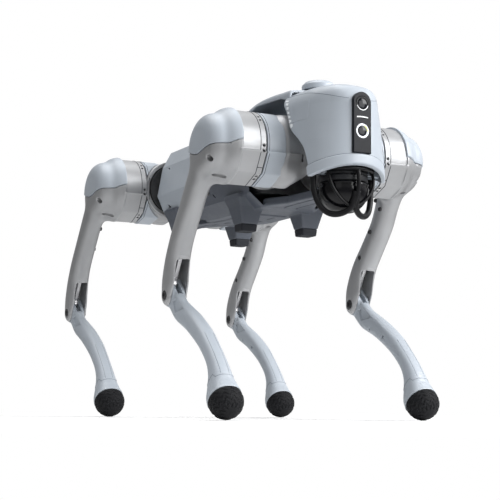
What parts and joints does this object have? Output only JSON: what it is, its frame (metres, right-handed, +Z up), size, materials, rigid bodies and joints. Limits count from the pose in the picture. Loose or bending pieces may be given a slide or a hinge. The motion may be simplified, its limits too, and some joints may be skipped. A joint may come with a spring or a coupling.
{
  "type": "quadruped robot dog",
  "caption": "Four-legged walking robot with linkage-driven knees, ball feet, a slide-out battery, a flat-backed trunk and a sensor head with a caged scanner.",
  "frame": {"origin": "on the ground, under the centre of the body, midway between the front and rear thigh axes", "axes": "+X forward, +Y to the robot's left, +Z up"},
  "size_m": [0.6447, 0.328, 0.436],
  "materials": {
    "shell_plastic": "satin moulded, blue grey",
    "cast_alloy": "fine bead-blasted silver paint",
    "belly_plastic": "matt moulded, dark slate",
    "chassis_alloy": "anodised, dark",
    "motor_can": "anodised, black",
    "machined_steel": "machined",
    "dark_steel": "blackened",
    "foot_rubber": "moulded, matt",
    "circuit_board": "lacquered",
    "battery_case": "satin moulded",
    "button_plastic": "gloss, translucent",
    "gloss_black": "high gloss",
    "lens_glass": "coated optical glass",
    "lamp_lens": "clear lens over reflector",
    "sensor_black": "fine texture",
    "sensor_gloss": "polished dome",
    "guard_black": "satin moulded"
  },
  "bodies": {
    "trunk": {"chassis_frame": "chassis_alloy", "top_shell": "shell_plastic", "belly_shell": "belly_plastic", "belly_pads": "foot_rubber", "hip_motors": "motor_can", "main_board": "circuit_board", "head_shell": "shell_plastic", "camera_panel": "gloss_black", "camera_lens": "lens_glass", "head_lamp": "lamp_lens", "lidar_housing": "sensor_black", "lidar_guard": "guard_black", "antenna_cap": "shell_plastic"},
    "battery": {"battery_pack": "battery_case"},
    "power_button": {"power_button": "button_plastic"},
    "lidar_rotor": {"lidar_rotor": "sensor_gloss"},
    "front_left_hip": {"front_left_hip_housing": "cast_alloy", "front_left_hip_cover": "shell_plastic", "front_left_thigh_motor": "motor_can"},
    "front_left_thigh": {"front_left_thigh_frame": "cast_alloy", "front_left_shoulder_cap": "shell_plastic", "front_left_knee_motor": "motor_can", "front_left_knee_axle": "dark_steel"},
    "front_left_crank": {"front_left_knee_crank": "machined_steel"},
    "front_left_rod": {"front_left_push_rod": "machined_steel"},
    "front_left_calf": {"front_left_calf": "shell_plastic", "front_left_foot": "foot_rubber"},
    "front_right_hip": {"front_right_hip_housing": "cast_alloy", "front_right_hip_cover": "shell_plastic", "front_right_thigh_motor": "motor_can"},
    "front_right_thigh": {"front_right_thigh_frame": "cast_alloy", "front_right_shoulder_cap": "shell_plastic", "front_right_knee_motor": "motor_can", "front_right_knee_axle": "dark_steel"},
    "front_right_crank": {"front_right_knee_crank": "machined_steel"},
    "front_right_rod": {"front_right_push_rod": "machined_steel"},
    "front_right_calf": {"front_right_calf": "shell_plastic", "front_right_foot": "foot_rubber"},
    "rear_left_hip": {"rear_left_hip_housing": "cast_alloy", "rear_left_hip_cover": "shell_plastic", "rear_left_thigh_motor": "motor_can"},
    "rear_left_thigh": {"rear_left_thigh_frame": "cast_alloy", "rear_left_shoulder_cap": "shell_plastic", "rear_left_knee_motor": "motor_can", "rear_left_knee_axle": "dark_steel"},
    "rear_left_crank": {"rear_left_knee_crank": "machined_steel"},
    "rear_left_rod": {"rear_left_push_rod": "machined_steel"},
    "rear_left_calf": {"rear_left_calf": "shell_plastic", "rear_left_foot": "foot_rubber"},
    "rear_right_hip": {"rear_right_hip_housing": "cast_alloy", "rear_right_hip_cover": "shell_plastic", "rear_right_thigh_motor": "motor_can"},
    "rear_right_thigh": {"rear_right_thigh_frame": "cast_alloy", "rear_right_shoulder_cap": "shell_plastic", "rear_right_knee_motor": "motor_can", "rear_right_knee_axle": "dark_steel"},
    "rear_right_crank": {"rear_right_knee_crank": "machined_steel"},
    "rear_right_rod": {"rear_right_push_rod": "machined_steel"},
    "rear_right_calf": {"rear_right_calf": "shell_plastic", "rear_right_foot": "foot_rubber"}
  },
  "joints": [
    {"name": "battery_slide", "type": "slide", "parent": "trunk", "child": "battery", "axis": [0, 1, 0], "range_m": [0, 0.12]},
    {"name": "power_button_press", "type": "slide", "parent": "battery", "child": "power_button", "axis": [0, -1, 0], "range_m": [0, 0.0015], "stiffness_N_per_m": 800},
    {"name": "lidar_spin", "type": "hinge", "parent": "trunk", "child": "lidar_rotor", "pos_m": [0.278, 0, 0.28603], "axis": [0, 0, 1], "continuous": true},
    {"name": "front_left_abduction", "type": "hinge", "parent": "trunk", "child": "front_left_hip", "pos_m": [0.1934, 0.0465, 0.34403], "axis": [1, 0, 0], "range_deg": [-42, 30], "stiffness_Nm_per_rad": 300},
    {"name": "front_left_thigh_swing", "type": "hinge", "parent": "front_left_hip", "child": "front_left_thigh", "pos_m": [0.1934, 0.142, 0.34403], "axis": [0, 1, 0], "range_deg": [-120.85, 84.15], "stiffness_Nm_per_rad": 300},
    {"name": "front_left_knee", "type": "hinge", "parent": "front_left_thigh", "child": "front_left_calf", "pos_m": [0.08417, 0.142, 0.16117], "axis": [0, -1, 0], "range_deg": [-30.26, 71.74], "stiffness_Nm_per_rad": 300},
    {"name": "front_left_crank_turn", "type": "hinge", "parent": "front_left_thigh", "child": "front_left_crank", "pos_m": [0.1934, 0.142, 0.34403], "axis": [0, -1, 0], "range_deg": [-30.26, 71.74]},
    {"name": "front_left_rod_pivot", "type": "hinge", "parent": "front_left_crank", "child": "front_left_rod", "pos_m": [0.18942, 0.142, 0.35953], "axis": [0, 1, 0], "range_deg": [-30.26, 71.74]},
    {"name": "front_right_abduction", "type": "hinge", "parent": "trunk", "child": "front_right_hip", "pos_m": [0.1934, -0.0465, 0.34403], "axis": [1, 0, 0], "range_deg": [-30, 42], "stiffness_Nm_per_rad": 300},
    {"name": "front_right_thigh_swing", "type": "hinge", "parent": "front_right_hip", "child": "front_right_thigh", "pos_m": [0.1934, -0.142, 0.34403], "axis": [0, 1, 0], "range_deg": [-120.85, 84.15], "stiffness_Nm_per_rad": 300},
    {"name": "front_right_knee", "type": "hinge", "parent": "front_right_thigh", "child": "front_right_calf", "pos_m": [0.08417, -0.142, 0.16117], "axis": [0, -1, 0], "range_deg": [-30.26, 71.74], "stiffness_Nm_per_rad": 300},
    {"name": "front_right_crank_turn", "type": "hinge", "parent": "front_right_thigh", "child": "front_right_crank", "pos_m": [0.1934, -0.142, 0.34403], "axis": [0, -1, 0], "range_deg": [-30.26, 71.74]},
    {"name": "front_right_rod_pivot", "type": "hinge", "parent": "front_right_crank", "child": "front_right_rod", "pos_m": [0.18942, -0.142, 0.35953], "axis": [0, 1, 0], "range_deg": [-30.26, 71.74]},
    {"name": "rear_left_abduction", "type": "hinge", "parent": "trunk", "child": "rear_left_hip", "pos_m": [-0.1934, 0.0465, 0.34403], "axis": [1, 0, 0], "range_deg": [-42, 45], "stiffness_Nm_per_rad": 300},
    {"name": "rear_left_thigh_swing", "type": "hinge", "parent": "rear_left_hip", "child": "rear_left_thigh", "pos_m": [-0.1934, 0.142, 0.34403], "axis": [0, 1, 0], "range_deg": [-34.85, 189.15], "stiffness_Nm_per_rad": 300},
    {"name": "rear_left_knee", "type": "hinge", "parent": "rear_left_thigh", "child": "rear_left_calf", "pos_m": [-0.30262, 0.142, 0.16117], "axis": [0, -1, 0], "range_deg": [-30.26, 71.74], "stiffness_Nm_per_rad": 300},
    {"name": "rear_left_crank_turn", "type": "hinge", "parent": "rear_left_thigh", "child": "rear_left_crank", "pos_m": [-0.1934, 0.142, 0.34403], "axis": [0, -1, 0], "range_deg": [-30.26, 71.74]},
    {"name": "rear_left_rod_pivot", "type": "hinge", "parent": "rear_left_crank", "child": "rear_left_rod", "pos_m": [-0.19738, 0.142, 0.35953], "axis": [0, 1, 0], "range_deg": [-30.26, 71.74]},
    {"name": "rear_right_abduction", "type": "hinge", "parent": "trunk", "child": "rear_right_hip", "pos_m": [-0.1934, -0.0465, 0.34403], "axis": [1, 0, 0], "range_deg": [-45, 42], "stiffness_Nm_per_rad": 300},
    {"name": "rear_right_thigh_swing", "type": "hinge", "parent": "rear_right_hip", "child": "rear_right_thigh", "pos_m": [-0.1934, -0.142, 0.34403], "axis": [0, 1, 0], "range_deg": [-34.85, 189.15], "stiffness_Nm_per_rad": 300},
    {"name": "rear_right_knee", "type": "hinge", "parent": "rear_right_thigh", "child": "rear_right_calf", "pos_m": [-0.30262, -0.142, 0.16117], "axis": [0, -1, 0], "range_deg": [-30.26, 71.74], "stiffness_Nm_per_rad": 300},
    {"name": "rear_right_crank_turn", "type": "hinge", "parent": "rear_right_thigh", "child": "rear_right_crank", "pos_m": [-0.1934, -0.142, 0.34403], "axis": [0, -1, 0], "range_deg": [-30.26, 71.74]},
    {"name": "rear_right_rod_pivot", "type": "hinge", "parent": "rear_right_crank", "child": "rear_right_rod", "pos_m": [-0.19738, -0.142, 0.35953], "axis": [0, 1, 0], "range_deg": [-30.26, 71.74]}
  ],
  "couplings": [
    {"joint": "front_left_crank_turn", "follows": "front_left_knee", "ratio": 1},
    {"joint": "front_left_rod_pivot", "follows": "front_left_knee", "ratio": 1},
    {"joint": "front_right_crank_turn", "follows": "front_right_knee", "ratio": 1},
    {"joint": "front_right_rod_pivot", "follows": "front_right_knee", "ratio": 1},
    {"joint": "rear_left_crank_turn", "follows": "rear_left_knee", "ratio": 1},
    {"joint": "rear_left_rod_pivot", "follows": "rear_left_knee", "ratio": 1},
    {"joint": "rear_right_crank_turn", "follows": "rear_right_knee", "ratio": 1},
    {"joint": "rear_right_rod_pivot", "follows": "rear_right_knee", "ratio": 1}
  ]
}
